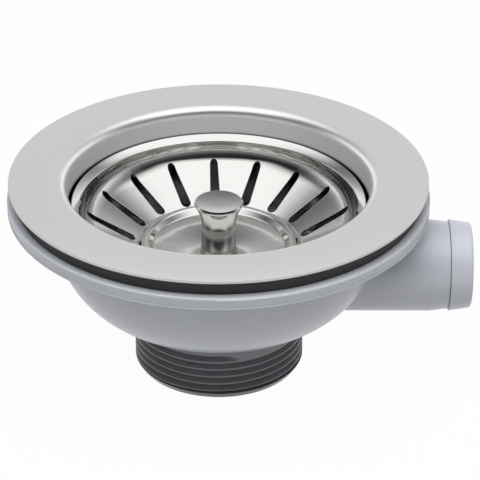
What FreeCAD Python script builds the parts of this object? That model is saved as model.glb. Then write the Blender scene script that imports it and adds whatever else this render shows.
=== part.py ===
import FreeCAD, Part
import math
import os

# Basket strainer waste for a 90 mm sink hole: a pressed flange dish, a slotted lift-out basket with
# a rubber stopper, a moulded bowl with a side overflow spigot, and a threaded outlet tail.
# Millimetres. The origin is the centre of the outlet mouth, +Z is up, the overflow leaves along +X.

# Outlet tail, with the parallel pipe thread of size one and a half inch
tail_height = 19.2
thread_r = 23.9
thread_pitch = 2.309
thread_depth = 1.48
thread_crest = 0.38
thread_length = 14.4
thread_end_deg = -75.0
mouth_lead = 1.0
mouth_lead_length = 1.7
tail_wall = 3.12
mouth_bore_step = 0.4
mouth_bore_length = 9.0
shoulder_thick = 1.4
shoulder_rim = 1.0
register_wall = 2.95
register_height = 2.2
hub_wall = 2.4
hub_height = 10.7
hub_rib_count = 3
hub_rib_width = 2.6
hub_rib_height = 8.0

# Outlet bowl, its clamping lip and the seal under its floor
bowl_height = 33.8
bowl_wall = 2.5
bowl_gap = 0.75
bowl_side = 26.476
bowl_heel_round = 4.0
bowl_heel_flat = 0.272
bowl_floor_margin = 3.95
lip_overhang = 0.6
lip_thick = 3.3
lip_draft = 0.4
lip_round = 0.5
lip_line = 0.25
lip_line_height = 0.35
register_clearance = 0.15
tail_seal_width = 2.3
tail_seal_thick = 1.0
seal_clearance = 0.05

# Overflow spigot on the bowl, its snap-on collar and seal
socket_r = 10.0
socket_depth = 17.0
socket_stop = 0.8
spigot_drop = 23.3
spigot_wall = 2.9
spigot_taper = 0.65
spigot_taper_length = 5.2
spigot_root_inset = 10.0
spigot_reach = 18.3
spigot_neck_length = 3.55
spigot_neck_wall = 1.0
spigot_fit = 0.05
collar_gap = 0.15
collar_wall = 1.82
collar_draft = 0.95
collar_length = 6.25
collar_round = 0.8
collar_lip = 1.3

# Rubber rings that clamp the sink sheet
washer_thick = 3.32
washer_inset = 1.7
washer_play = 0.8
gasket_thick = 0.8
gasket_inset = 1.4
gasket_play = 0.4

# Pressed flange dish
flange_sheet = 0.8
deck_width = 16.0
dish_r = 42.0
dish_bend = 2.5
dish_wall_depth = 12.12
dish_wall_round = 7.0
dish_depth = 29.02
dish_floor_round = 3.0
seat_margin = 7.3
seat_width = 3.0
dimple_drop = 6.0
dimple_lean = 1.5
dimple_round = 1.0
drain_window_count = 6
drain_window_margin = 1.7
drain_spoke_width = 4.0

# Hollow fixing screw, its washer and nut
screw_r = 4.95
screw_head_r = 7.8
screw_head = 3.2
screw_head_round = 0.6
screw_slot_width = 1.6
screw_slot_depth = 1.4
screw_tail = 1.0
screw_washer_rim = 0.6
screw_washer_thick = 0.8
screw_play = 0.3
nut_flats = 16.0
nut_thick = 6.0
nut_play = 0.1
thread_fit = 0.05

# Stopper plate and rubber stopper seal under the basket
seat_gap = 0.05
seal_r = 25.2
seal_height = 2.8
seal_lip_step = 1.0
seal_grip = 3.1
plate_inset = 2.6
plate_thick = 2.45
plate_flange = 1.55
plate_ring_wall = 2.0
plate_ring_drop = 1.1
plate_play = 0.05

# Slotted basket pressing
basket_sheet = 0.7
rim_drop = 7.67
basket_edge_round = 0.15
rim_clearance = 1.3
rim_width = 1.9
rim_rise = 1.25
rim_round = 0.8
ring_drop = 6.82
ring_lean = 0.8
ring_round = 9.5
valley_drop = 0.25
valley_round = 0.9
bead_height = 2.3
bead_round = 1.5
bead_inner_run = 2.3
bead_outer_run = 2.4
disc_r = 18.3
disc_round = 0.8
slot_count = 18
slot_first_deg = 92.75
slot_inner_margin = 0.7
slot_outer_margin = 1.5
slot_inner_width = 2.9
slot_outer_width = 2.3

# Lift knob
knob_height = 13.8
knob_top_r = 6.85
knob_lip = 1.0
knob_lip_overhang = 0.13
knob_edge_round = 0.35
knob_rim = 0.5
knob_dish = 0.25
knob_brow_inset = 0.1
knob_brow_drop = 2.45
knob_brow_round = 0.8
knob_flare_round = 3.5
knob_waist_r = 4.72
knob_waist_height = 8.15
knob_base_r = 4.87

# Stem through the basket, with its washer, retaining clip and sealing ring
stem_r = 3.0
stem_fit = 0.05
stem_neck_drop = 1.0
stem_tip_step = 0.15
stem_tip_play = 0.25
stem_tip_drop = 15.6
stem_tip_round = 0.8
stem_collar_r = 5.0
stem_collar_thick = 1.2
stud_r = 2.5
stud_length = 9.0
stud_play = 0.1
stem_washer_r = 6.4
stem_washer_thick = 0.8
clip_thick = 0.7
clip_r = 5.2
clip_groove = 0.6
clip_mouth_deg = 80.0
ring_section_r = 0.55
ring_height = 4.6

# Radii worked out from the fits
tail_bore_r = thread_r - thread_depth - tail_wall
mouth_bore_r = tail_bore_r + mouth_bore_step
register_r = tail_bore_r + register_wall
bowl_hole_r = register_r + register_clearance
tail_seal_r = register_r + seal_clearance + tail_seal_width
seal_pocket_r = tail_seal_r + seal_clearance
shoulder_r = seal_pocket_r + shoulder_rim
nut_corner_r = nut_flats / 2 / math.cos(math.pi / 6)
hub_r = nut_corner_r + nut_play + hub_wall
flange_r = dish_r + deck_width
bowl_wall_r = dish_r + flange_sheet + bowl_gap + bowl_wall
bowl_floor_r = shoulder_r + bowl_floor_margin
lip_r = flange_r + lip_overhang
spigot_r = socket_r + spigot_wall
spigot_bore_r = socket_r - socket_stop
spigot_neck_r = socket_r + spigot_neck_wall
sleeve_r = spigot_neck_r + spigot_fit
collar_r = sleeve_r + collar_wall
screw_washer_r = screw_head_r + screw_washer_rim
screw_hole_r = screw_r + screw_play
dimple_floor_r = screw_washer_r + dimple_round
dimple_r = dimple_floor_r + dimple_lean
plate_r = seal_r - plate_inset
seal_hole_r = plate_r - seal_grip
basket_rim_r = dish_r - rim_clearance
basket_ring_r = basket_rim_r - rim_width
bead_r = disc_r + bead_inner_run
valley_r = bead_r + bead_outer_run
stud_hole_r = stud_r + stud_play
clip_groove_r = stem_r - clip_groove
stem_tip_r = stem_r - stem_tip_step
screw_bore_r = stem_tip_r + stem_tip_play
ring_centre_r = screw_bore_r - seal_clearance - ring_section_r

# Heights worked out from the stack
bowl_floor_z = tail_height
lip_top_z = bowl_floor_z + bowl_height
washer_top_z = lip_top_z + washer_thick
gasket_top_z = washer_top_z + gasket_thick
flange_top_z = gasket_top_z + flange_sheet
dish_floor_z = flange_top_z - dish_depth
dimple_z = dish_floor_z - dimple_drop
hub_top_z = dimple_z - flange_sheet
hub_base_z = hub_top_z - hub_height
nut_top_z = hub_base_z + nut_thick
screw_seat_z = dimple_z + screw_washer_thick
screw_top_z = screw_seat_z + screw_head
seal_base_z = dish_floor_z + seat_gap
plate_step_z = seal_base_z + seal_height
plate_top_z = plate_step_z + plate_flange
plate_base_z = plate_top_z - plate_thick
stem_collar_z = plate_top_z + plate_play
stem_washer_z = stem_collar_z + stem_collar_thick
disc_under_z = stem_washer_z + stem_washer_thick
disc_z = disc_under_z + basket_sheet
rim_z = flange_top_z - rim_drop
clip_top_z = plate_base_z - plate_play
clip_base_z = clip_top_z - clip_thick
stem_tip_z = clip_base_z - stem_tip_drop
ring_z = stem_tip_z + ring_height

# Places along the overflow spigot
spigot_z = lip_top_z - spigot_drop
spigot_root_x = bowl_wall_r - spigot_root_inset
spigot_step_x = bowl_wall_r + spigot_reach
spigot_end_x = spigot_step_x + spigot_neck_length
collar_x = spigot_step_x + collar_gap
collar_end_x = collar_x + collar_length
collar_lip_x = collar_end_x - collar_lip

ORIGIN = FreeCAD.Vector(0, 0, 0)
UP = FreeCAD.Vector(0, 0, 1)
ALONG_X = FreeCAD.Vector(1, 0, 0)
ALONG_Y = FreeCAD.Vector(0, 1, 0)


def corner_points(corners):
    """Points of the half plane x = radius, z = height, from (radius, height, rounding) corners."""
    return [FreeCAD.Vector(c[0], 0, c[1]) for c in corners]


def rounded_face(corners):
    """Face inside a closed outline whose corners carry tangent arcs of the given rounding radius."""
    points = corner_points(corners)
    count = len(points)
    arcs = {}
    starts = []
    ends = []
    for i, point in enumerate(points):
        rounding = corners[i][2] if len(corners[i]) > 2 else 0.0
        come = (point - points[i - 1]).normalize()
        go = (points[(i + 1) % count] - point).normalize()
        turn = come.getAngle(go)
        if rounding == 0.0 or turn < 1e-6:
            starts.append(point)
            ends.append(point)
            continue
        run = rounding * math.tan(turn / 2)
        inward = (go - come).normalize()
        middle = point + inward * (rounding / math.cos(turn / 2) - rounding)
        starts.append(point - come * run)
        ends.append(point + go * run)
        arcs[i] = Part.Arc(starts[i], middle, ends[i]).toShape()
    outline = []
    for i in range(count):
        if i in arcs:
            outline.append(arcs[i])
        after = starts[(i + 1) % count]
        if ends[i].distanceToPoint(after) > 1e-6:
            outline.append(Part.makeLine(ends[i], after))
    return Part.Face(Part.Wire(outline))


def turned(corners):
    """Solid of revolution about +Z."""
    return rounded_face(corners).revolve(ORIGIN, UP, 360)


def turned_along_x(corners, height):
    """Solid of revolution about the line parallel to +X at the given height."""
    solid = turned(corners)
    solid.rotate(ORIGIN, ALONG_Y, 90)
    solid.translate(UP * height)
    return solid


def sheet_outline(corners, thick):
    """Closed outline of a sheet: the given corners, then the parallel corners to the right of the path."""
    points = corner_points(corners)
    roundings = [c[2] if len(c) > 2 else 0.0 for c in corners]
    runs = [(b - a).normalize() for a, b in zip(points, points[1:])]
    sides = [FreeCAD.Vector(run.z, 0, -run.x) for run in runs]
    far = [(points[0] + sides[0] * thick, roundings[0])]
    for i in range(1, len(points) - 1):
        both = sides[i - 1] + sides[i]
        shift = both * (2 * thick / both.dot(both))
        bends_right = runs[i].dot(sides[i - 1]) > 0
        change = -thick if bends_right else thick
        far.append((points[i] + shift, roundings[i] + change if roundings[i] else 0.0))
    far.append((points[-1] + sides[-1] * thick, roundings[-1]))
    return list(corners) + [(p.x, p.z, r) for p, r in reversed(far)]


def turned_sheet(corners, thick):
    """Sheet of even thickness turned about +Z, with the given corners on its left side."""
    return turned(sheet_outline(corners, thick))


def ring(inner_r, outer_r, low_z, high_z):
    """Plain ring of rectangular section."""
    return turned([(inner_r, low_z), (outer_r, low_z), (outer_r, high_z), (inner_r, high_z)])


def around(shape, count, first_deg):
    """Copies of a shape at even steps about +Z."""
    copies = []
    for i in range(count):
        copy = shape.copy()
        copy.rotate(ORIGIN, UP, first_deg + i * 360.0 / count)
        copies.append(copy)
    return copies


def prism(flats, low_z, high_z):
    """Hexagonal prism with the given size across flats."""
    reach = flats / 2 / math.cos(math.pi / 6)
    points = [FreeCAD.Vector(reach * math.cos(i * math.pi / 3), reach * math.sin(i * math.pi / 3), low_z)
              for i in range(7)]
    return Part.Face(Part.makePolygon(points)).extrude(UP * (high_z - low_z))


def make_flange():
    """Flat deck, rounded bend, straight wall, sloping dish, drain floor and screw dimple."""
    path = [(screw_hole_r, dimple_z),
            (dimple_floor_r, dimple_z, dimple_round),
            (dimple_r, dish_floor_z, dimple_round + flange_sheet),
            (seal_r + seat_margin, dish_floor_z, dish_floor_round),
            (dish_r, flange_top_z - dish_wall_depth, dish_wall_round),
            (dish_r, flange_top_z, dish_bend),
            (flange_r, flange_top_z)]
    return turned_sheet(path, flange_sheet).cut(make_drain_windows())


def make_drain_windows():
    """Cutters for the drain windows, ring sectors parted by spokes of even width."""
    low_z = dish_floor_z - 2 * flange_sheet
    high_z = dish_floor_z + flange_sheet
    outer_r = seal_r - seat_width
    sector = ring(dimple_r + drain_window_margin, outer_r, low_z, high_z)
    spoke = Part.makeBox(2 * outer_r, drain_spoke_width, high_z - low_z)
    spoke.translate(FreeCAD.Vector(0, -drain_spoke_width / 2, low_z))
    return sector.cut(around(spoke, drain_window_count, first_spoke_deg()))


def first_spoke_deg():
    """Angle of the first spoke: a drain window, not a spoke, faces the overflow."""
    return 180.0 / drain_window_count


def make_gasket():
    """Thin rubber ring under the flange, on top of the sink."""
    inner_r = dish_r + dish_bend + gasket_play
    return ring(inner_r, flange_r - gasket_inset, washer_top_z, gasket_top_z)


def make_washer():
    """Thick rubber ring on the bowl's lip, under the sink."""
    return ring(dish_r + flange_sheet + washer_play, flange_r - washer_inset, lip_top_z, washer_top_z)


def make_bowl():
    """Moulded bowl: clamping lip with its parting line, wall, rounded belly, floor and overflow spigot."""
    heel_z = lip_top_z - bowl_side
    heel_rise = heel_z - bowl_floor_z
    heel_run = bowl_wall_r - bowl_floor_r
    heel_lean = math.atan2(heel_rise, heel_run)
    round_run = bowl_heel_round * math.tan(heel_lean / 2)
    curve_run = math.hypot(heel_run, heel_rise) - round_run - bowl_heel_flat
    curve_r = curve_run / math.tan(math.pi / 4 - heel_lean / 2)
    path = [(bowl_wall_r, lip_top_z),
            (bowl_wall_r, heel_z, curve_r),
            (bowl_floor_r, bowl_floor_z, bowl_heel_round),
            (bowl_hole_r, bowl_floor_z)]
    outline = sheet_outline(path, bowl_wall)
    inside = outline[len(path):]
    room = turned([(0, bowl_floor_z + bowl_wall)] + inside + [(0, lip_top_z)])
    lip_under_z = lip_top_z - lip_thick
    lip_inner_r = bowl_wall_r - bowl_wall / 2
    lip_under_r = lip_r - lip_draft
    line_r = lip_under_r + lip_line
    line_z = lip_under_z + lip_line_height
    face_r = lip_under_r + lip_draft * lip_line_height / lip_thick
    lip = turned([(lip_inner_r, lip_under_z), (line_r, lip_under_z), (line_r, line_z), (face_r, line_z),
                  (lip_r, lip_top_z, lip_round), (lip_inner_r, lip_top_z)])
    pocket = ring(0, seal_pocket_r, bowl_floor_z, bowl_floor_z + tail_seal_thick)
    bowl = turned(outline).fuse([lip, make_spigot().cut(room)])
    return bowl.cut([pocket, make_spigot_way()]).removeSplitter()


def make_spigot():
    """Outside of the overflow spigot: domed root, straight pipe, short taper and the collar's neck."""
    pipe = turned_along_x([(0, spigot_root_x), (spigot_r, spigot_root_x),
                           (spigot_r, spigot_step_x - spigot_taper_length),
                           (spigot_r - spigot_taper, spigot_step_x), (spigot_neck_r, spigot_step_x),
                           (spigot_neck_r, spigot_end_x), (0, spigot_end_x)], spigot_z)
    dome = Part.makeSphere(spigot_r, FreeCAD.Vector(spigot_root_x, 0, spigot_z))
    return pipe.fuse(dome)


def make_spigot_way():
    """Water way of the spigot: rounded inner end, bore, and the wider pipe socket with its stop."""
    stop_x = spigot_end_x - socket_depth
    way = turned_along_x([(0, spigot_root_x), (spigot_bore_r, spigot_root_x), (spigot_bore_r, stop_x),
                          (socket_r, stop_x), (socket_r, spigot_end_x), (0, spigot_end_x)], spigot_z)
    end = Part.makeSphere(spigot_bore_r, FreeCAD.Vector(spigot_root_x, 0, spigot_z))
    return way.fuse(end)


def make_collar():
    """Snap-on collar: a sleeve over the spigot's neck with an inward lip that holds the seal."""
    mouth_r = socket_r + spigot_fit
    return turned_along_x([(sleeve_r, collar_x), (collar_r, collar_x),
                           (collar_r - collar_draft, collar_end_x, collar_round),
                           (mouth_r, collar_end_x), (mouth_r, collar_lip_x),
                           (sleeve_r, collar_lip_x)], spigot_z)


def make_spigot_seal():
    """Flat seal between the spigot's end and the collar's lip."""
    mouth_r = socket_r + spigot_fit
    return turned_along_x([(mouth_r, spigot_end_x), (spigot_neck_r, spigot_end_x),
                           (spigot_neck_r, collar_lip_x), (mouth_r, collar_lip_x)], spigot_z)


def make_thread_groove():
    """Helical groove between the thread's crests, from below the mouth up to its run-out."""
    top_z = thread_length - thread_pitch / 2
    height = top_z + thread_pitch
    root_r = thread_r - thread_depth
    clear_r = thread_r + thread_crest / 2
    root_half = thread_crest / 2
    flank = (thread_pitch / 2 - thread_crest) / thread_depth
    clear_half = root_half + (clear_r - root_r) * flank
    section = Part.makePolygon(corner_points([(root_r, -root_half), (root_r, root_half),
                                              (clear_r, clear_half), (clear_r, -clear_half),
                                              (root_r, -root_half)]))
    helix = Part.Wire(Part.makeHelix(thread_pitch, height, thread_r).Edges)
    groove = helix.makePipeShell([section], True, True)
    groove.rotate(ORIGIN, UP, thread_end_deg - 360.0 * height / thread_pitch)
    groove.translate(UP * (top_z - height))
    return groove


def make_tail():
    """Threaded outlet tail: tube with a plain lead, shoulder, register, and the hub on its ribs."""
    shoulder_z = bowl_floor_z - shoulder_thick
    register_z = bowl_floor_z + register_height
    tube = turned([(tail_bore_r, mouth_bore_length), (mouth_bore_r, mouth_bore_length), (mouth_bore_r, 0),
                   (thread_r - mouth_lead, 0), (thread_r, mouth_lead_length),
                   (thread_r, shoulder_z), (shoulder_r, shoulder_z), (shoulder_r, bowl_floor_z),
                   (register_r, bowl_floor_z), (register_r, register_z), (tail_bore_r, register_z)])
    lead = turned([(mouth_bore_r, 0), (thread_r - mouth_lead, 0), (thread_r, mouth_lead_length),
                   (mouth_bore_r, mouth_lead_length)])
    hub = ring(screw_hole_r, hub_r, hub_base_z, hub_top_z)
    pocket = prism(nut_flats + 2 * nut_play, hub_base_z, nut_top_z)
    rib_start = hub_r - hub_wall
    rib_end = tail_bore_r + tail_wall / 2
    rib = Part.makeBox(rib_end - rib_start, hub_rib_width, hub_rib_height)
    rib.translate(FreeCAD.Vector(rib_start, -hub_rib_width / 2, hub_base_z))
    ribs = around(rib, hub_rib_count, first_spoke_deg())
    return tube.cut(make_thread_groove()).fuse([lead, hub] + ribs).cut(pocket).removeSplitter()


def make_tail_seal():
    """Flat rubber ring round the tail's register, in the pocket under the bowl's floor."""
    return ring(register_r + seal_clearance, tail_seal_r, bowl_floor_z, bowl_floor_z + tail_seal_thick)


def make_screw():
    """Hollow screw with a slotted cheese head; the basket's stem runs in its bore."""
    end_z = hub_base_z - screw_tail
    body = turned([(screw_bore_r, end_z), (screw_r, end_z), (screw_r, screw_seat_z),
                   (screw_head_r, screw_seat_z), (screw_head_r, screw_top_z, screw_head_round),
                   (screw_bore_r, screw_top_z)])
    slot = Part.makeBox(2 * screw_head_r, screw_slot_width, screw_slot_depth)
    slot.translate(FreeCAD.Vector(-screw_head_r, -screw_slot_width / 2, screw_top_z - screw_slot_depth))
    return body.cut(slot)


def make_screw_washer():
    """Washer between the screw's head and the dish's dimple."""
    return ring(screw_hole_r, screw_washer_r, dimple_z, screw_seat_z)


def make_nut():
    """Hexagonal nut in the hub's pocket."""
    bore = ring(0, screw_r + thread_fit, hub_base_z, nut_top_z)
    return prism(nut_flats, hub_base_z, nut_top_z).cut(bore)


def make_plate():
    """Stopper plate: a flange over the seal, a ring that the seal grips, and a bore for the stem."""
    low_z = plate_base_z - plate_ring_drop
    ring_inner_r = seal_hole_r - plate_ring_wall
    bore_r = stem_r + stem_fit
    return turned([(bore_r, plate_base_z), (ring_inner_r, plate_base_z), (ring_inner_r, low_z),
                   (seal_hole_r, low_z), (seal_hole_r, plate_step_z), (plate_r, plate_step_z),
                   (plate_r, plate_top_z), (bore_r, plate_top_z)])


def make_stopper_seal():
    """Rubber ring gripped by the plate, flared out to its sealing lip."""
    return turned([(seal_hole_r, seal_base_z), (seal_r, seal_base_z),
                   (plate_r + seal_lip_step, plate_step_z), (seal_hole_r, plate_step_z)])


def make_basket():
    """Pressed basket: flared rim, ring wall curving into a slotted slope, raised bead and flat disc."""
    valley_z = disc_z - valley_drop
    path = [(stud_hole_r, disc_z),
            (disc_r, disc_z, disc_round),
            (bead_r, disc_z + bead_height, bead_round),
            (valley_r, valley_z, valley_round),
            (basket_ring_r - ring_lean, rim_z - ring_drop, ring_round),
            (basket_ring_r, rim_z - rim_rise, rim_round),
            (basket_rim_r, rim_z, basket_edge_round)]
    low_z = valley_z - 2 * basket_sheet
    cutter = slot_plan(low_z).extrude(UP * (rim_z - low_z))
    return turned_sheet(path, basket_sheet).cut(around(cutter, slot_count, slot_first_deg))


def slot_plan(height):
    """Plan of one slot along +X: two end circles of different width joined by their tangents."""
    inner_half = slot_inner_width / 2
    outer_half = slot_outer_width / 2
    inner = FreeCAD.Vector(valley_r + slot_inner_margin + inner_half, 0, height)
    outer = FreeCAD.Vector(basket_ring_r - slot_outer_margin - outer_half, 0, height)
    lean = math.asin((inner_half - outer_half) / (outer.x - inner.x))
    left = FreeCAD.Vector(math.sin(lean), math.cos(lean), 0)
    right = FreeCAD.Vector(left.x, -left.y, 0)
    edges = [Part.makeLine(inner + left * inner_half, outer + left * outer_half),
             Part.Arc(outer + left * outer_half, outer + ALONG_X * outer_half,
                      outer + right * outer_half).toShape(),
             Part.makeLine(outer + right * outer_half, inner + right * inner_half),
             Part.Arc(inner + right * inner_half, inner - ALONG_X * inner_half,
                      inner + left * inner_half).toShape()]
    return Part.Face(Part.Wire(edges))


def make_knob():
    """Turned spool knob: dished top with a lip, brow, flare, waist and foot; blind hole for the stud."""
    top_z = disc_z + knob_height
    lip_z = top_z - knob_lip
    lip_under_r = knob_top_r - knob_lip_overhang
    brow_r = lip_under_r - knob_brow_inset
    hole_r = stud_r + thread_fit
    hole_z = disc_z + stud_length + thread_fit
    return turned([(hole_r, disc_z), (knob_base_r, disc_z),
                   (knob_waist_r, disc_z + knob_waist_height, knob_flare_round),
                   (brow_r, top_z - knob_brow_drop, knob_brow_round),
                   (lip_under_r, lip_z), (knob_top_r, lip_z), (knob_top_r, top_z, knob_edge_round),
                   (knob_top_r - knob_rim, top_z), (0, top_z - knob_dish), (0, hole_z), (hole_r, hole_z)])


def make_stem():
    """Stem: stud into the knob, collar under the basket, bearing for the plate, and the sealed tip."""
    neck_z = clip_base_z - stem_neck_drop
    stud_z = disc_z + stud_length
    body = turned([(0, stem_tip_z), (stem_tip_r, stem_tip_z, stem_tip_round),
                   (stem_tip_r, neck_z - stem_tip_step), (stem_r, neck_z),
                   (stem_r, clip_base_z), (clip_groove_r, clip_base_z),
                   (clip_groove_r, clip_top_z), (stem_r, clip_top_z), (stem_r, stem_collar_z),
                   (stem_collar_r, stem_collar_z), (stem_collar_r, stem_washer_z), (stud_r, stem_washer_z),
                   (stud_r, stud_z), (0, stud_z)])
    groove_r = ring_centre_r - ring_section_r - seal_clearance
    groove_half = ring_section_r + seal_clearance
    return body.cut(ring(groove_r, screw_bore_r, ring_z - groove_half, ring_z + groove_half))


def make_stem_washer():
    """Washer between the stem's collar and the basket's disc."""
    return ring(stud_hole_r, stem_washer_r, stem_washer_z, disc_under_z)


def make_clip():
    """Retaining clip: a flat ring, open on one side, in the stem's groove."""
    half = math.radians(clip_mouth_deg / 2)
    reach = 2 * clip_r
    hinge = FreeCAD.Vector(0, 0, clip_base_z)
    side = FreeCAD.Vector(reach * math.cos(half), reach * math.sin(half), clip_base_z)
    other = FreeCAD.Vector(side.x, -side.y, clip_base_z)
    mouth = Part.Face(Part.makePolygon([hinge, other, side, hinge])).extrude(UP * clip_thick)
    return ring(clip_groove_r, clip_r, clip_base_z, clip_top_z).cut(mouth)


def make_sealing_ring():
    """Round-section rubber ring in the stem's lower groove."""
    return Part.makeTorus(ring_centre_r, ring_section_r, FreeCAD.Vector(0, 0, ring_z), UP)


PIECES = {
    "sink_flange": make_flange,
    "flange_gasket": make_gasket,
    "sink_washer": make_washer,
    "outlet_bowl": make_bowl,
    "spigot_collar": make_collar,
    "spigot_seal": make_spigot_seal,
    "outlet_tail": make_tail,
    "tail_seal": make_tail_seal,
    "fixing_screw": make_screw,
    "screw_washer": make_screw_washer,
    "fixing_nut": make_nut,
    "stopper_plate": make_plate,
    "stopper_seal": make_stopper_seal,
    "basket": make_basket,
    "lift_knob": make_knob,
    "basket_stem": make_stem,
    "stem_washer": make_stem_washer,
    "retaining_clip": make_clip,
    "stem_sealing_ring": make_sealing_ring,
}

os.makedirs("parts", exist_ok=True)
for name, make in PIECES.items():
    shape = make()
    shape.exportStep("parts/" + name + ".step")
    box = shape.BoundBox
    print(f"{name:18s} solids {len(shape.Solids)} valid {shape.isValid()} volume {shape.Volume:9.2f}"
          f"  z {box.ZMin:6.2f} to {box.ZMax:6.2f}  x to {box.XMax:6.2f}")
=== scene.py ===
# %% [markdown]
# A kitchen sink strainer: a pressed steel flange dish, a lift-out slotted basket with a knob, a grey
# moulded bowl with an overflow spigot, and a dark threaded outlet tail.
# The CAD model is loaded first as a fixed frame, so that every piece made here has a place to fit.
# The pieces that catch the eye are worked out again as smooth numpy surfaces. The rest keep the CAD
# mesh and only get a better finish.

# %% Load the frame
import math

import bmesh
import bpy
import numpy as np
from mathutils import Matrix


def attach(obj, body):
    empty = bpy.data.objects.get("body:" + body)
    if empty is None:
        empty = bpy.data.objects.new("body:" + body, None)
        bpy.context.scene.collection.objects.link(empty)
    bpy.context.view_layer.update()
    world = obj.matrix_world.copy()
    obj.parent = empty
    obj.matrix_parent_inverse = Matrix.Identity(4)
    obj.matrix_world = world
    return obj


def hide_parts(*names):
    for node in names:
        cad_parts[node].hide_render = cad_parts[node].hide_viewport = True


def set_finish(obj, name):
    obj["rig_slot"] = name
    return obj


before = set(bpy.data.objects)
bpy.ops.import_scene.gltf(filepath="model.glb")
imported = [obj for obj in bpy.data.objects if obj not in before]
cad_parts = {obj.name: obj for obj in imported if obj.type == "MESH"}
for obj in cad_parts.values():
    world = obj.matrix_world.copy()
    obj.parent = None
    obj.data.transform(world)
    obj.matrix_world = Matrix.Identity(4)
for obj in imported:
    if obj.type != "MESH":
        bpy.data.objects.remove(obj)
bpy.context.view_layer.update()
MM = 0.001

# %% [markdown]
# Nearly every piece here is turned or pressed round one axis, so it starts as a profile: a line in the
# half plane of radius and height. Corners of such a line are never sharp on the real thing. A rounded
# corner could be bevelled later, but a bevel guesses its size at tight places, so the arcs go straight
# into the profile.

# %% Rounded profiles
ARC_STEP = math.radians(5)
HOLD = 0.06


def corner_arc(before, corner, after, rounding):
    """Arc tangent to both sides of a corner. It starts rounding x tan(turn / 2) before the corner, its
    centre lies one rounding to the inner side, and it swings by the turn between the sides. One holding
    point close to each end keeps the shading of the straight sides flat."""
    if rounding == 0:
        return corner[None]
    come = (corner - before) / np.linalg.norm(corner - before)
    go = (after - corner) / np.linalg.norm(after - corner)
    turn = math.atan2(come[0] * go[1] - come[1] * go[0], come @ go)
    run = rounding * math.tan(abs(turn) / 2)
    inward = math.copysign(1, turn) * np.array([-come[1], come[0]])
    centre = corner - come * run + inward * rounding
    swing = np.linspace(0, turn, math.ceil(abs(turn) / ARC_STEP) + 2)[:, None]
    spoke = -inward * rounding
    arc = centre + np.cos(swing) * spoke + np.sin(swing) * np.array([-spoke[1], spoke[0]])
    return np.vstack([corner - come * (run + HOLD), arc, corner + go * (run + HOLD)])


def rounded(corners, closed=False):
    """Profile through (radius, height, rounding) corners in mm, with each rounding as a tangent arc."""
    points = np.array([corner[:2] for corner in corners], float)
    roundings = [corner[2] if len(corner) > 2 else 0 for corner in corners]
    before = np.roll(points, 1, axis=0)
    after = np.roll(points, -1, axis=0)
    if not closed:
        roundings[0] = roundings[-1] = 0
    return np.vstack([corner_arc(*side, size) for *side, size in zip(before, points, after, roundings)])


sample = rounded([(0, 0), (10, 0, 3), (10, 8)])
print("A corner with a 3 mm rounding becomes", len(sample) - 2, "points")

# %% [markdown]
# A profile becomes a surface when it is carried round the axis: one grid of points, with rows along the
# profile and columns round the circle. The faces of a grid are the same for every shape, so one function
# makes them. A small helper then puts points and faces into a mesh, welds the seams, marks the real edges
# sharp, hangs the piece on the body it rides on, hides the CAD node it stands for and gives it its finish
# slot.

# %% Grids, faces and pieces
SHARP_EDGE = math.radians(38)
WELD = 1e-7


def grid_faces(rows, columns, close_rows=False, close_columns=True):
    """Quads between neighbouring rows and columns of a grid, wrapped round where it is closed."""
    i = np.arange(rows if close_rows else rows - 1)[:, None]
    j = np.arange(columns if close_columns else columns - 1)[None, :]
    next_i = (i + 1) % rows
    next_j = (j + 1) % columns
    corners = [i * columns + j, i * columns + next_j, next_i * columns + next_j, next_i * columns + j]
    return np.stack(np.broadcast_arrays(*corners), axis=-1).reshape(-1, 4)


def spin(radius, height, angle):
    """Points at radius r and angle a round +Z: x = r cos a, y = r sin a, z as given."""
    radius, height, angle = np.broadcast_arrays(radius, height, angle)
    return np.stack([radius * np.cos(angle), radius * np.sin(angle), height], axis=-1)


def add_piece(name, points, faces, body, node, slot):
    """Mesh object from points in mm, welded, smooth with sharp edges, riding on a body in place of a node."""
    mesh = bpy.data.meshes.new(name)
    mesh.from_pydata((points.reshape(-1, 3) * MM).tolist(), [], faces.tolist())
    weld = bmesh.new()
    weld.from_mesh(mesh)
    bmesh.ops.remove_doubles(weld, verts=weld.verts, dist=WELD)
    bmesh.ops.dissolve_degenerate(weld, edges=weld.edges, dist=WELD)
    weld.to_mesh(mesh)
    weld.free()
    mesh.shade_smooth()
    mesh.set_sharp_from_angle(angle=SHARP_EDGE)
    piece = bpy.data.objects.new(name, mesh)
    bpy.context.scene.collection.objects.link(piece)
    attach(piece, body)
    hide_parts(node)
    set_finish(piece, slot)
    print(f"{name}: {len(mesh.vertices)} points, {len(mesh.polygons)} faces")
    return piece


def turned(name, corners, body, node, slot, columns=192):
    """Closed outline of (radius, height, rounding) corners, counterclockwise, carried round +Z."""
    outline = rounded(corners, closed=True)
    angle = np.linspace(0, 2 * np.pi, columns, endpoint=False)
    points = spin(outline[:, :1], outline[:, 1:], angle)
    faces = grid_faces(len(outline), columns, close_rows=True)
    return add_piece(name, points, faces, body, node, slot)


# %% [markdown]
# The flange is one sheet of stainless steel: a flat deck, a rounded bend, a straight wall, a sloping dish
# and a flat floor with six drain windows between spokes. A Boolean could cut the windows, but it leaves
# ragged faces on a shiny floor. Here the grid itself follows the spokes: its columns run along both edges
# of each spoke, and the faces inside a window are simply left out. Solidify then gives the sheet its
# thickness and closes the window edges, and a narrow Bevel takes the sharpness off the cut edges, so
# that they catch a fine line of light.

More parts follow.
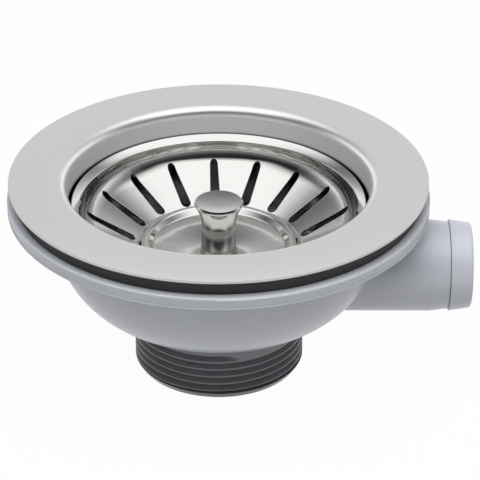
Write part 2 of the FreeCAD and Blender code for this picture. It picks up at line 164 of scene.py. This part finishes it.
# %% Flange dish
FLANGE_TOP = 57.92
FLANGE_R = 58.0
FLANGE_SHEET = 0.8
FLANGE_EDGE = 0.15
DISH_R = 42.0
DISH_BEND = 3.0
DISH_WALL_LOW = 45.8
FLOOR_Z = 28.9
FLOOR_R = 32.5
DIMPLE_Z = 22.9
SPOKES = 6
SPOKE_WIDTH = 4.0
WINDOW_FROM = 12.6
WINDOW_TO = 22.2
EDGE_HOLD = 0.15

flange_path = rounded([(FLANGE_R, FLANGE_TOP), (DISH_R, FLANGE_TOP, DISH_BEND), (DISH_R, DISH_WALL_LOW, 7.0),
                       (FLOOR_R, FLOOR_Z, 3.0), (10.9, FLOOR_Z, 1.8), (9.4, DIMPLE_Z, 1.0), (5.25, DIMPLE_Z)])


def with_stations(path, radii, height):
    """The path with extra points where it passes the given radii at the given height."""
    extra = np.stack([np.array(radii), np.full(len(radii), height)], axis=-1)
    on_floor = np.flatnonzero(np.isclose(path[:, 1], height))
    place = on_floor[len(on_floor) // 2]
    return np.insert(path, place, extra[np.argsort(-extra[:, 0])], axis=0)


def spoke_columns(radius, sector, window_columns=24):
    """Angles of the grid columns in each sector, from one spoke's middle to the next. A spoke's edge lies
    at asin(half width / r) from its middle, so the columns bend to keep the spoke's width even."""
    edge = np.arcsin(SPOKE_WIDTH / 2 / radius)
    hold = EDGE_HOLD / radius
    share = np.linspace(0, 1, window_columns + 1)
    window = edge + hold + (sector - 2 * (edge + hold)) * share
    return np.hstack([0 * edge, edge - hold, edge, window, sector - edge, sector - edge + hold])


def flange_sheet():
    """Grid of the flange's upper face with the window faces left out. Rows follow the path from the deck's
    edge to the screw hole, columns follow the spokes."""
    stations = [WINDOW_TO + EDGE_HOLD, WINDOW_TO, WINDOW_FROM, WINDOW_FROM - EDGE_HOLD]
    path = with_stations(flange_path, stations, FLOOR_Z)
    sector = 2 * np.pi / SPOKES
    columns = spoke_columns(path[:, :1], sector)
    starts = (np.arange(SPOKES) + 0.5) * sector
    angle = (starts[None, :, None] + columns[:, None, :]).reshape(len(path), -1)
    points = spin(path[:, :1], path[:, 1:], angle)
    faces = grid_faces(*angle.shape)
    row, column = np.divmod(faces[:, 0], angle.shape[1])
    place = column % columns.shape[1]
    in_window = (place >= 2) & (place < columns.shape[1] - 2)
    middle = (path[row, 0] + path[np.minimum(row + 1, len(path) - 1), 0]) / 2
    on_floor = np.isclose(path[row, 1], FLOOR_Z)
    between = on_floor & (middle > WINDOW_FROM) & (middle < WINDOW_TO)
    return points, faces[~(in_window & between)]


def make_sheet(piece, thickness, edge):
    """Thickness below the grid, and a bevel of the given width on the edges where faces meet squarely."""
    sheet = piece.modifiers.new("sheet_thickness", "SOLIDIFY")
    sheet.thickness = thickness * MM
    sheet.offset = -1
    deburr = piece.modifiers.new("deburred_edges", "BEVEL")
    deburr.width = edge * MM
    deburr.segments = 2
    deburr.limit_method = "ANGLE"
    deburr.angle_limit = math.radians(60)


flange = add_piece("flange_dish", *flange_sheet(), "waste_body", "sink_flange", "satin_stainless")
make_sheet(flange, FLANGE_SHEET, FLANGE_EDGE)

# %% [markdown]
# The basket is pressed from thinner, brightly polished sheet. Its sloping wall has 18 long slots with
# round ends. The grid is laid out between the slots: each panel's columns start at one slot's edge and end
# at the next one's, so the slots are open gaps in the grid and their edges are clean curves. Beyond the
# slot ends the gap closes to nothing and the weld joins the panels. One column close to each edge holds
# the shading of the panel flat up to the deburred edge.

# %% Slotted basket
BASKET_SHEET = 0.7
BASKET_EDGE = 0.25
DISC_Z = 36.05
RIM_Z = 50.25
RIM_R = 40.7
RIM_RISE = 1.6
RING_R = 38.8
RING_DROP = 6.5
RING_ROUND = 7.4
VALLEY_R = 23.0
SLOTS = 18
FIRST_SLOT = math.radians(92.75)
SLOT_FROM = 23.7
SLOT_TO = 37.3
SLOT_FROM_HALF = 1.45
SLOT_TO_HALF = 1.15

basket_path = rounded([(RIM_R, RIM_Z), (RING_R, RIM_Z - RIM_RISE, 0.6),
                       (RING_R, RIM_Z - RING_DROP, RING_ROUND), (VALLEY_R, 35.8, 0.9), (20.6, 38.35, 1.5),
                       (18.3, DISC_Z, 0.8), (2.6, DISC_Z)])


def slot_half_width(radius):
    """Half width of a slot at a radius: straight sides between two end circles, and zero past its ends."""
    inner = SLOT_FROM + SLOT_FROM_HALF
    outer = SLOT_TO - SLOT_TO_HALF
    share = np.clip((radius - inner) / (outer - inner), 0, 1)
    straight = SLOT_FROM_HALF + (SLOT_TO_HALF - SLOT_FROM_HALF) * share
    past = np.maximum(inner - radius, radius - outer).clip(0)
    return np.sqrt(np.maximum(straight ** 2 - past ** 2, 0))


def slot_stations():
    """Radii where the grid gets a row so that the round slot ends are smooth: even steps of the end arcs."""
    swing = np.linspace(0, np.pi / 2, 9)
    inner = SLOT_FROM + SLOT_FROM_HALF * (1 - np.cos(swing))
    outer = SLOT_TO - SLOT_TO_HALF * (1 - np.cos(swing))
    return np.hstack([inner, np.linspace(inner[-1], outer[-1], 16)[1:-1], outer])


def basket_sheet():
    """Grid of the basket's upper face: rows along the path with the slots' own rows added, columns at even
    shares of each panel's width, with a holding column near each edge."""
    along = np.hstack([0, np.cumsum(np.linalg.norm(np.diff(basket_path, axis=0), axis=1))])
    wall = (basket_path[:, 0] > VALLEY_R + 0.05) & (basket_path[:, 0] < RING_R - 0.01)
    slot_along = np.interp(-slot_stations(), -basket_path[wall, 0], along[wall])
    rows = np.unique(np.hstack([along, slot_along]).round(5))
    radius = np.interp(rows, along, basket_path[:, 0])[:, None]
    height = np.interp(rows, along, basket_path[:, 1])[:, None]
    sector = 2 * np.pi / SLOTS
    half = np.arcsin(slot_half_width(radius) / radius)
    hold = EDGE_HOLD / radius
    share = np.linspace(0, 1, 9)
    inside = half + hold + (sector - 2 * (half + hold)) * share
    columns = np.hstack([half, inside, sector - half])
    starts = FIRST_SLOT + np.arange(SLOTS) * sector
    angle = starts[:, None, None] + columns[None]
    points = spin(radius[None], height[None], angle)
    panel = grid_faces(len(rows), columns.shape[1], close_columns=False)
    faces = panel[None] + (np.arange(SLOTS) * columns.size)[:, None, None]
    return points, faces.reshape(-1, 4)


basket = add_piece("basket_pressing", *basket_sheet(), "basket", "basket", "polished_stainless")
make_sheet(basket, BASKET_SHEET, BASKET_EDGE)

# %% [markdown]
# The lift knob is a small spool turned on a lathe: a dished top, a chamfer that mirrors the dark side of
# the room as a thin line, a long flare down to the waist, and a foot on the basket's disc. Lathe work is
# a closed outline carried round the axis.

# %% Lift knob
KNOB_TOP = 49.85
KNOB_DISH = 0.35
knob = turned("knob_turning",
              [(0, DISC_Z), (4.87, DISC_Z, 0.2), (4.72, 45.8, 11.5), (6.75, 48.85, 0.15), (6.85, 49.3, 0.1),
               (6.5, KNOB_TOP, 0.08), (3.15, KNOB_TOP - KNOB_DISH, 40.0), (0, KNOB_TOP - KNOB_DISH)],
              "basket", "lift_knob", "polished_stainless", columns=128)

# %% [markdown]
# Two rubber rings clamp the sink between them: a thin gasket under the flange and a thick washer on the
# bowl's lip. They are cut or moulded rings, so their edges are only just rounded.

# %% Rubber rings
gasket = turned("gasket_ring", [(44.9, 56.32), (56.6, 56.32, 0.2), (56.6, 57.12), (44.9, 57.12)],
                "waste_body", "flange_gasket", "black_rubber")
washer = turned("washer_ring", [(43.6, 53.0), (56.3, 53.0, 0.4), (56.3, 56.32, 0.4), (43.6, 56.32)],
                "waste_body", "sink_washer", "black_rubber")

# %% [markdown]
# The outlet tail carries a right-hand pipe thread. A thread is a function of angle and height: the depth
# depends only on how far the height is past the helix, which climbs one pitch per turn. The grid rows
# follow that helix, so the crests stay crisp, and rows that run past either end are held at the end.
# The mouth has a short plain lead that guides the nut.

# %% Threaded outlet tail
THREAD_R = 23.9
THREAD_PITCH = 2.309
THREAD_DEPTH = 1.48
THREAD_TOP = 13.25
THREAD_END = math.radians(-75)
THREAD_LENGTH = 14.4
LEAD = 1.0
LEAD_LENGTH = 1.7
TAIL_BORE = 19.3
MOUTH_BORE = 19.7
SHOULDER_R = 25.65
BOWL_FLOOR = 19.2


def thread_radius(angle, height):
    """Radius of the tail: the crest radius less a groove that is deepest on the helix and rises evenly to
    narrow crests half a pitch away, and ends in a short ramp at its run-out."""
    turns = (angle - THREAD_END) / (2 * np.pi)
    below_end = (THREAD_TOP - height) / THREAD_PITCH + turns
    phase = np.abs(below_end - np.round(below_end))
    depth = THREAD_DEPTH * np.clip((0.42 - phase) / 0.34, 0, 1)
    started = np.clip((np.round(below_end) - turns) * 30, 0, 1)
    return THREAD_R - depth * started


def tail_tube():
    """Grid of the tail: thread rows that follow the helix, then the shoulder under the bowl, the register
    inside it, the bore back down to the mouth, and the plain lead."""
    angle = THREAD_END + np.linspace(0, 2 * np.pi, 241)[None, :]
    phases = np.array([-0.42, -0.36, -0.24, -0.14, -0.08, 0, 0.08, 0.14, 0.24, 0.36, 0.42])
    crests = np.arange(-8, 2)[:, None] + phases[None, :]
    climb = (angle - THREAD_END) / (2 * np.pi)
    rows = THREAD_TOP + (crests.reshape(-1, 1) + climb) * THREAD_PITCH
    height = np.clip(rows, LEAD_LENGTH, THREAD_LENGTH)
    thread = spin(thread_radius(angle, height), height, angle)
    rest = rounded([(THREAD_R, THREAD_LENGTH), (THREAD_R, 17.8, 0.4), (SHOULDER_R, 17.8, 0.4),
                    (SHOULDER_R, BOWL_FLOOR, 0.2), (22.25, BOWL_FLOOR), (22.25, 21.4, 0.3),
                    (TAIL_BORE, 21.4, 0.3), (TAIL_BORE, 9.0), (MOUTH_BORE, 9.0), (MOUTH_BORE, 0.0),
                    (THREAD_R - LEAD, 0.0, 0.2), (THREAD_R, LEAD_LENGTH)])
    points = np.concatenate([thread, spin(rest[:, :1], rest[:, 1:], angle)])
    return points, grid_faces(*points.shape[:2], close_rows=True, close_columns=False)


tail = add_piece("tail_tube", *tail_tube(), "waste_body", "outlet_tail", "dark_grey_plastic")

# %% [markdown]
# Inside the tail a hub on three ribs takes the fixing screw and its nut. The nut sits in a six-sided
# pocket, whose wall is again a function of the angle: half the width across flats divided by the cosine
# of the angle from the middle of the nearest flat.

# %% Hub and ribs inside the tail
HUB_R = 11.74
HUB_LOW = 11.4
HUB_HIGH = 22.1
NUT_TOP = 17.4
POCKET_FLATS = 16.2
RIB_WIDTH = 2.6
RIB_HEIGHT = 8.0


def hub_with_pocket():
    """Grid of the hub: outline rows round the axis, with the pocket's rows on a hexagon, not a circle."""
    angle = np.linspace(0, 2 * np.pi, 96, endpoint=False)[None, :]
    pocket = POCKET_FLATS / 2 / np.cos((angle % (np.pi / 3)) - np.pi / 6)
    outer = rounded([(HUB_R, HUB_LOW), (HUB_R, HUB_HIGH, 0.4), (5.25, HUB_HIGH), (5.25, NUT_TOP)])
    rim = spin(pocket, HUB_LOW, angle)
    ceiling = spin(pocket, NUT_TOP, angle)
    points = np.concatenate([spin(outer[:, :1], outer[:, 1:], angle), ceiling, rim])
    return points, grid_faces(*points.shape[:2], close_rows=True)


def ribs():
    """Three boxes from the hub's wall to the tail's wall, at the middle of every second spoke."""
    corners = np.array([[x, y, z] for x in (HUB_R - 1.2, TAIL_BORE + 1.5)
                        for y in (-RIB_WIDTH / 2, RIB_WIDTH / 2) for z in (HUB_LOW, HUB_LOW + RIB_HEIGHT)])
    faces = np.array([[0, 1, 3, 2], [4, 6, 7, 5], [0, 4, 5, 1], [2, 3, 7, 6], [0, 2, 6, 4], [1, 5, 7, 3]])
    angle = np.radians([30, 150, 270])[:, None]
    x, y, z = corners.T
    points = np.stack([x * np.cos(angle) - y * np.sin(angle), x * np.sin(angle) + y * np.cos(angle),
                       np.broadcast_to(z, (3, 8))], axis=-1)
    return points, (faces[None] + 8 * np.arange(3)[:, None, None]).reshape(-1, 4)


hub = add_piece("tail_hub", *hub_with_pocket(), "waste_body", "outlet_tail", "dark_grey_plastic")
tail_ribs = add_piece("tail_ribs", *ribs(), "waste_body", "outlet_tail", "dark_grey_plastic")

# %% [markdown]
# The spigot's end carries a snap-on collar, a short turned shape on an axis along +X. It is made as a
# turned piece about +Z, and its points are then laid over: up becomes along.

# %% Spigot collar
SPIGOT_Z = 29.7
COLLAR_FROM = 64.5
COLLAR_TO = 70.75
collar_outline = rounded([(11.05, COLLAR_FROM), (12.87, COLLAR_FROM, 0.2), (11.92, COLLAR_TO, 0.8),
                          (10.05, COLLAR_TO, 0.3), (10.05, 69.45), (11.05, 69.45)], closed=True)
collar_angle = np.linspace(0, 2 * np.pi, 160, endpoint=False)
upright = spin(collar_outline[:, :1], collar_outline[:, 1:], collar_angle)
laid_over = np.stack([upright[..., 2], upright[..., 1], SPIGOT_Z - upright[..., 0]], axis=-1)
collar = add_piece("collar_ring", laid_over, grid_faces(len(collar_outline), 160, close_rows=True),
                   "waste_body", "spigot_collar", "light_grey_plastic")

# %% [markdown]
# Finishes are node trees. One small function adds a node: values are set on its sockets, and outputs of
# other nodes are linked to them. Colours are written as sRGB hex, as a paint chart gives them, and turned
# to the linear values that the renderer works with.

# %% Material helpers


def linear(hex_colour):
    """Linear RGBA of an sRGB hex colour: x / 12.92 in the dark end, else ((x + 0.055) / 1.055) ^ 2.4."""
    srgb = np.array([int(hex_colour[i:i + 2], 16) for i in (1, 3, 5)]) / 255
    rgb = np.where(srgb <= 0.04045, srgb / 12.92, ((srgb + 0.055) / 1.055) ** 2.4)
    return (*rgb.tolist(), 1.0)


def add_node(tree, kind, inputs, **settings):
    """Adds a node with its settings. Inputs take a plain value, or an output socket, which is linked."""
    made = tree.nodes.new(kind)
    for name, value in settings.items():
        setattr(made, name, value)
    for name, value in inputs.items():
        if isinstance(value, bpy.types.NodeSocket):
            tree.links.new(value, made.inputs[name])
        else:
            made.inputs[name].default_value = value
    return made


def new_material(name):
    """Empty material and its node tree, with an output node."""
    material = bpy.data.materials.new(name)
    material.use_nodes = True
    material.node_tree.nodes.clear()
    return material, material.node_tree, material.node_tree.nodes.new("ShaderNodeOutputMaterial")


def per_metre(size_mm):
    """Texture scale whose features are about the given size, as Object coordinates are in metres."""
    return 1 / (size_mm * MM)


print("Mid grey #808080 is", round(linear("#808080")[0], 3), "in linear values")

# %% [markdown]
# The flange is one sheet, but its finish changes along the way. The deck is brushed while it spins, so
# its fine scratches run round the axis and the eye sees a soft, even sheen with no sharp reflections.
# The press burnishes the bend, the wall below is satin again, and the deep-drawn dish stays bare. The bend
# and the wall get a lighter colour than the deck, which is a painted highlight. The dish, from just below the
# basket's rim down, gets a dark grey, which is painted shade. Radius plus height grows steadily from the
# floor to the deck's edge, so this one sum tells the zones apart: each adds to the roughness, changes how
# much of the light is mirrored and sets the colour.
# The scratches are noise that changes quickly with the radius and slowly along the circle. Real ones
# are some 0.05 mm apart; they are drawn at 0.5 mm, or a pixel would swallow them.

# %% Satin brushed stainless steel, with painted highlight and painted shade
# Each zone gives the start and end of radius plus height in mm, added roughness, added metal and a colour.
# The light colour of the bend and wall zones is a painted highlight.
FLANGE_ZONES_AND_PAINTED_LIGHT = [(91.4, 92.2, 0.20, -0.6, "#efefee"), (97, 98.5, -0.12, 0.5, "#efefee"),
                (100.6, 102, 0.20, -0.35, "#cfcfce")]


def satin_stainless_and_painted_light():
    material, tree, output = new_material("satin_stainless_and_painted_light")
    place = add_node(tree, "ShaderNodeTexCoord", {}).outputs["Object"]
    flat = add_node(tree, "ShaderNodeVectorMath", {0: place, 1: (1, 1, 0)}, operation="MULTIPLY")
    radius = add_node(tree, "ShaderNodeVectorMath", {0: flat.outputs["Vector"]}, operation="LENGTH")
    fine = add_node(tree, "ShaderNodeMath", {0: radius.outputs["Value"], 1: per_metre(0.5)},
                    operation="MULTIPLY")
    slow = add_node(tree, "ShaderNodeVectorMath", {0: place, "Scale": per_metre(25)}, operation="SCALE")
    parts = add_node(tree, "ShaderNodeSeparateXYZ", {0: slow.outputs["Vector"]})
    brushed = add_node(tree, "ShaderNodeCombineXYZ", {"X": fine.outputs[0], "Y": parts.outputs["X"],
                                                      "Z": parts.outputs["Y"]})
    scratches = add_node(tree, "ShaderNodeTexNoise", {"Vector": brushed.outputs[0], "Scale": 1.0,
                                                      "Detail": 3.0})
    height = add_node(tree, "ShaderNodeSeparateXYZ", {0: place}).outputs["Z"]
    along = add_node(tree, "ShaderNodeMath", {0: radius.outputs["Value"], 1: height}).outputs[0]
    rough = add_node(tree, "ShaderNodeMath", {0: scratches.outputs["Fac"], 1: 0.08, 2: 0.18},
                     operation="MULTIPLY_ADD").outputs[0]
    metal = 1.0
    # The dark grey that the dish starts from is painted shade, standing in for the shade under the basket.
    colour = linear("#a2a2a1")
    for start, end, rougher, shinier, hex_colour in FLANGE_ZONES_AND_PAINTED_LIGHT:
        zone = add_node(tree, "ShaderNodeMapRange", {"Value": along, "From Min": start * MM,
                                                     "From Max": end * MM}).outputs["Result"]
        rough = add_node(tree, "ShaderNodeMath", {0: zone, 1: rougher, 2: rough},
                         operation="MULTIPLY_ADD").outputs[0]
        metal = add_node(tree, "ShaderNodeMath", {0: zone, 1: shinier, 2: metal},
                         operation="MULTIPLY_ADD").outputs[0]
        colour = add_node(tree, "ShaderNodeMix", {"Factor": zone, "A": colour, "B": linear(hex_colour)},
                          data_type="RGBA").outputs["Result"]
    bump = add_node(tree, "ShaderNodeBump", {"Height": scratches.outputs["Fac"], "Strength": 0.06,
                                             "Distance": 0.05 * MM})
    steel = add_node(tree, "ShaderNodeBsdfPrincipled",
                     {"Base Color": colour, "Metallic": metal, "Roughness": rough,
                      "Normal": bump.outputs["Normal"]})
    tree.links.new(steel.outputs["BSDF"], output.inputs["Surface"])
    return material


flange_steel_and_painted_light = satin_stainless_and_painted_light()
print("Made", flange_steel_and_painted_light.name, "with", len(FLANGE_ZONES_AND_PAINTED_LIGHT), "zones above the bare dish")

# %% [markdown]
# The basket is polished after pressing. It mirrors what is round it, but the press and the buffing wheel
# leave a faint waviness a few millimetres across, which bends the reflections slightly, and thin lines
# of haze.

# %% Mirror polished stainless steel


def mirror_polished_stainless():
    material, tree, output = new_material("mirror_polished_stainless")
    place = add_node(tree, "ShaderNodeTexCoord", {}).outputs["Object"]
    waves = add_node(tree, "ShaderNodeTexNoise", {"Vector": place, "Scale": per_metre(5), "Detail": 1.0})
    haze = add_node(tree, "ShaderNodeTexNoise", {"Vector": place, "Scale": per_metre(1.2), "Detail": 4.0})
    rough = add_node(tree, "ShaderNodeMapRange", {"Value": haze.outputs["Fac"], "To Min": 0.06,
                                                  "To Max": 0.13})
    bump = add_node(tree, "ShaderNodeBump", {"Height": waves.outputs["Fac"], "Strength": 0.12,
                                             "Distance": 0.15 * MM})
    steel = add_node(tree, "ShaderNodeBsdfPrincipled",
                     {"Base Color": linear("#d9d8d6"), "Metallic": 1.0, "Roughness": rough.outputs["Result"],
                      "Normal": bump.outputs["Normal"]})
    tree.links.new(steel.outputs["BSDF"], output.inputs["Surface"])
    return material


polished_steel = mirror_polished_stainless()
print("Made", polished_steel.name)

# %% [markdown]
# The screw, the stem and the small washers are stainless steel as it leaves the lathe, and the nut is
# brass made the same way. Fine feed marks run round the axis, so height and radius drive the pattern.
# Both metals share one recipe with their own colour, and so does the knob, whose marks are buffed nearly
# away. The marks are drawn 0.4 mm apart to show.

# %% Turned stainless steel and brass


def turned_metal(name, hex_colour, smoothest, roughest):
    material, tree, output = new_material(name)
    place = add_node(tree, "ShaderNodeTexCoord", {}).outputs["Object"]
    stretch = add_node(tree, "ShaderNodeVectorMath", {0: place, 1: (0.1, 0.1, 1)}, operation="MULTIPLY")
    marks = add_node(tree, "ShaderNodeTexNoise", {"Vector": stretch.outputs["Vector"], "Detail": 2.0,
                                                  "Scale": per_metre(0.4)})
    rough = add_node(tree, "ShaderNodeMapRange", {"Value": marks.outputs["Fac"], "To Min": smoothest,
                                                  "To Max": roughest})
    bump = add_node(tree, "ShaderNodeBump", {"Height": marks.outputs["Fac"], "Strength": 0.15,
                                             "Distance": 0.05 * MM})
    metal = add_node(tree, "ShaderNodeBsdfPrincipled",
                     {"Base Color": linear(hex_colour), "Metallic": 1.0, "Roughness": rough.outputs["Result"],
                      "Normal": bump.outputs["Normal"]})
    tree.links.new(metal.outputs["BSDF"], output.inputs["Surface"])
    return material


turned_steel = turned_metal("turned_stainless", "#c4c3c1", 0.22, 0.34)
turned_brass = turned_metal("turned_brass", "#d9b36a", 0.22, 0.34)
buffed_steel = turned_metal("buffed_turned_stainless", "#cac9c7", 0.08, 0.15)
print("Made", turned_steel.name, "and", turned_brass.name, "and", buffed_steel.name)

# %% [markdown]
# The bowl and the tail are injection moulded polypropylene, a slightly waxy plastic. The mould's fine
# spark-eroded grain breaks up the gloss, and the melt leaves faint clouds where it flowed. The grain is
# some 0.05 mm across and is drawn at 0.35 mm. The rubber rings share the recipe with a coarser, duller
# skin: moulded rubber has next to no gloss.

# %% Moulded plastic and rubber


def moulded(name, hex_colour, cloud_colour, roughness, grain_mm, grain_depth_mm):
    material, tree, output = new_material(name)
    place = add_node(tree, "ShaderNodeTexCoord", {}).outputs["Object"]
    clouds = add_node(tree, "ShaderNodeTexNoise", {"Vector": place, "Scale": per_metre(18), "Detail": 2.0})
    grain = add_node(tree, "ShaderNodeTexNoise", {"Vector": place, "Scale": per_metre(grain_mm),
                                                  "Detail": 2.0})
    colour = add_node(tree, "ShaderNodeMix", {"Factor": clouds.outputs["Fac"], "A": linear(hex_colour),
                                              "B": linear(cloud_colour)}, data_type="RGBA")
    rough = add_node(tree, "ShaderNodeMapRange", {"Value": grain.outputs["Fac"], "To Min": roughness - 0.06,
                                                  "To Max": roughness + 0.06})
    bump = add_node(tree, "ShaderNodeBump", {"Height": grain.outputs["Fac"], "Strength": 0.25,
                                             "Distance": grain_depth_mm * MM})
    plastic = add_node(tree, "ShaderNodeBsdfPrincipled",
                       {"Base Color": colour.outputs["Result"], "Roughness": rough.outputs["Result"],
                        "IOR": 1.49, "Normal": bump.outputs["Normal"]})
    tree.links.new(plastic.outputs["BSDF"], output.inputs["Surface"])
    return material


light_plastic = moulded("moulded_light_grey_polypropylene", "#b9bcc3", "#b5b8bf", 0.30, 0.35, 0.02)
dark_plastic = moulded("moulded_dark_grey_polypropylene", "#8b8c90", "#848589", 0.24, 0.35, 0.02)
rubber = moulded("moulded_black_rubber", "#2b2b2c", "#262627", 0.6, 0.5, 0.03)
print("Made", light_plastic.name, "and", dark_plastic.name, "and", rubber.name)

# %% [markdown]
# Every piece and every CAD node carries the name of its material slot, so one dictionary dresses them
# all. The knob shares the basket's slot, but it was turned and not pressed, so it gets its own finish.

# %% Put the finishes on
finishes = {
    "satin_stainless": flange_steel_and_painted_light,
    "polished_stainless": polished_steel,
    "plain_stainless": turned_steel,
    "brass": turned_brass,
    "light_grey_plastic": light_plastic,
    "dark_grey_plastic": dark_plastic,
    "black_rubber": rubber,
}
by_slot = [flange, basket, gasket, washer, tail, hub, tail_ribs, collar]
for piece in by_slot:
    piece.data.materials.append(finishes[piece["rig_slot"]])
knob.data.materials.append(buffed_steel)
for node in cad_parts.values():
    slot = node.material_slots[0]
    slot.material = finishes[slot.material.name]
print("Dressed", len(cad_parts), "CAD nodes and", len(by_slot) + 1, "new pieces")

# %% [markdown]
# The studio has a pale floor, a white surround and one large soft light overhead. A plain white backdrop
# could be had by lighting everything more, but then every colour would be too light. Here the floor and
# the surround look white to the camera, while the light that they throw on the object is set apart. The
# floor mixes a white glow with a real pale surface, so it still carries the object's shadow.

# %% Floor and surround


def sees_background(tree):
    """One where a camera, glossy or transmission ray arrives, else zero."""
    path = add_node(tree, "ShaderNodeLightPath", {})
    either = add_node(tree, "ShaderNodeMath", {0: path.outputs["Is Camera Ray"],
                                               1: path.outputs["Is Glossy Ray"]}, operation="MAXIMUM")
    return add_node(tree, "ShaderNodeMath", {0: either.outputs[0], 1: path.outputs["Is Transmission Ray"]},
                    operation="MAXIMUM").outputs[0]


FLOOR_SIZE = 6.0
FLOOR_GLOW = 0.97
FLOOR_BOUNCE = 0.1
floor_mesh = bpy.data.meshes.new("floor")
half = FLOOR_SIZE / 2
floor_mesh.from_pydata([(-half, -half, 0), (half, -half, 0), (half, half, 0), (-half, half, 0)], [],
                       [(0, 1, 2, 3)])
floor = bpy.data.objects.new("floor", floor_mesh)
bpy.context.scene.collection.objects.link(floor)
paper, tree, output = new_material("white_paper_floor")
white = add_node(tree, "ShaderNodeBsdfDiffuse", {"Color": linear("#cfcfcf")})
glow = add_node(tree, "ShaderNodeEmission", {"Color": linear("#ffffff"), "Strength": 1.0})
amount = add_node(tree, "ShaderNodeMapRange", {"Value": sees_background(tree), "To Min": FLOOR_BOUNCE,
                                               "To Max": FLOOR_GLOW})
mixed = add_node(tree, "ShaderNodeMixShader", {0: amount.outputs["Result"], 1: white.outputs[0],
                                               2: glow.outputs[0]})
tree.links.new(mixed.outputs[0], output.inputs["Surface"])
floor_mesh.materials.append(paper)

SURROUND_LIGHT = 0.2
world = bpy.data.worlds.new("white_surround")
world.use_nodes = True
bpy.context.scene.world = world
tree = world.node_tree
tree.nodes.clear()
strength = add_node(tree, "ShaderNodeMapRange", {"Value": sees_background(tree), "To Min": SURROUND_LIGHT,
                                                 "To Max": 1.0})
surround = add_node(tree, "ShaderNodeBackground", {"Color": linear("#ffffff"),
                                                   "Strength": strength.outputs["Result"]})
add_node(tree, "ShaderNodeOutputWorld", {"Surface": surround.outputs[0]})
print("Floor of", FLOOR_SIZE, "m, surround light", SURROUND_LIGHT)

# %% [markdown]
# Polished steel has hardly a colour of its own: it shows the studio. In the photograph it mirrors a white
# backdrop low behind, a dim room above that, a dark side where the camera stands, and a softbox
# overhead. Photographers call the dark surfaces flags. They are drawn here as one dome of cards that
# only reflections see, with its brightness worked out from the direction and kept as an attribute. An
# area light overhead, which reflections don't see, then lights the object.

# %% Cards round the set
DOME_R = 2.5
SOFTBOX_GLOW = 1.32
LEFT_DIMMING = 0.3
card_height = np.radians([0, 8, 14, 20, 24, 29, 34, 40, 50, 90])
back_glow = np.array([1.1, 1.1, 1.1, 0.92, 0.72, 0.54, 0.40, 0.28, 0.22, 0.20])
front_glow = np.array([0.30, 0.28, 0.22, 0.14, 0.08, 0.04, 0.03, 0.03, 0.06, 0.15])


def fade(value, start, end):
    """Smooth step that is 0 up to start and 1 from end on: 3 t^2 - 2 t^3 of the share t between them."""
    share = np.clip((value - start) / (end - start), 0, 1)
    return share * share * (3 - 2 * share)


height = np.linspace(0, np.pi / 2, 61)[:, None]
around = np.linspace(0, 2 * np.pi, 120, endpoint=False)[None, :]
dome_points = spin(np.cos(height), np.sin(height), around)
x, y, z = np.moveaxis(dome_points, -1, 0)
behind = fade(np.sin(around), -0.4, 0.4)
back_side = np.interp(height, card_height, back_glow)
front_side = np.interp(height, card_height, front_glow)
room = front_side + (back_side - front_side) * behind
room = room * (1 - LEFT_DIMMING * fade(x, 0.1, -0.5) * fade(z, 0.3, 0.5))
aside, back = x / np.maximum(z, 0.2), y / np.maximum(z, 0.2)
softbox_sides = fade(aside, 1.3, 0.5) * fade(aside, -1.2, -0.35)
softbox_ends = fade(back, -1.05, -0.60) * fade(back, 0.95, 0.30)
glow = room + (SOFTBOX_GLOW - room) * softbox_sides * softbox_ends
dome_mesh = bpy.data.meshes.new("cards")
dome_mesh.from_pydata((DOME_R * dome_points).reshape(-1, 3).tolist(), [], grid_faces(*glow.shape).tolist())
dome_mesh.attributes.new("glow", "FLOAT", "POINT").data.foreach_set("value", glow.ravel().astype(np.float32))
dome = bpy.data.objects.new("cards", dome_mesh)
bpy.context.scene.collection.objects.link(dome)
dome.visible_camera = dome.visible_diffuse = dome.visible_shadow = dome.visible_transmission = False
card, tree, output = new_material("studio_cards")
card_glow = add_node(tree, "ShaderNodeAttribute", {}, attribute_name="glow").outputs["Fac"]
lit = add_node(tree, "ShaderNodeEmission", {"Color": linear("#ffffff"), "Strength": card_glow})
tree.links.new(lit.outputs[0], output.inputs["Surface"])
dome_mesh.materials.append(card)
print("Cards from", round(float(glow.min()), 2), "to", round(float(glow.max()), 2))

# %% [markdown]
# The cards only show up in reflections. Matt surfaces are lit by one area lamp above the object and a
# little in front of it. A lamp's size sets how soft its shadows are, so this one is large.

# %% Soft light overhead
lamp = bpy.data.lights.new("overhead_softbox", "AREA")
lamp.shape = "RECTANGLE"
lamp.size = 1.2
lamp.size_y = 0.8
lamp.energy = 17.5
overhead = bpy.data.objects.new("overhead_softbox", lamp)
overhead.location = (0.0, -0.35, 1.1)
overhead.visible_camera = overhead.visible_glossy = False
bpy.context.scene.collection.objects.link(overhead)
print("Lamp of", lamp.energy, "W,", round(lamp.size, 2), "by", round(lamp.size_y, 2), "m")

# %% [markdown]
# The camera stands where the photographer's did. Its place, tilt and lens were worked out from the
# ellipses of the flange, the rings and the thread in the photograph.

# %% Camera
CAMERA_AT = (0.00594, -0.6005, 0.3755)
CAMERA_TILT = math.radians(60.63)
CAMERA_ROLL = math.radians(0.144)
camera_data = bpy.data.cameras.new("camera")
camera_data.sensor_width = 36.0
camera_data.lens = 184.48
camera = bpy.data.objects.new("camera", camera_data)
bpy.context.scene.collection.objects.link(camera)
camera.matrix_world = (Matrix.Translation(CAMERA_AT) @ Matrix.Rotation(CAMERA_TILT, 4, "X")
                       @ Matrix.Rotation(CAMERA_ROLL, 4, "Z"))
bpy.context.scene.camera = camera
print("Camera with a lens of", round(camera_data.lens, 2), "mm")

# %% [markdown]
# Last comes the view. Standard shows colours as they are written, where a film curve would grey them.

# %% Finish
bpy.context.scene.view_settings.view_transform = "Standard"
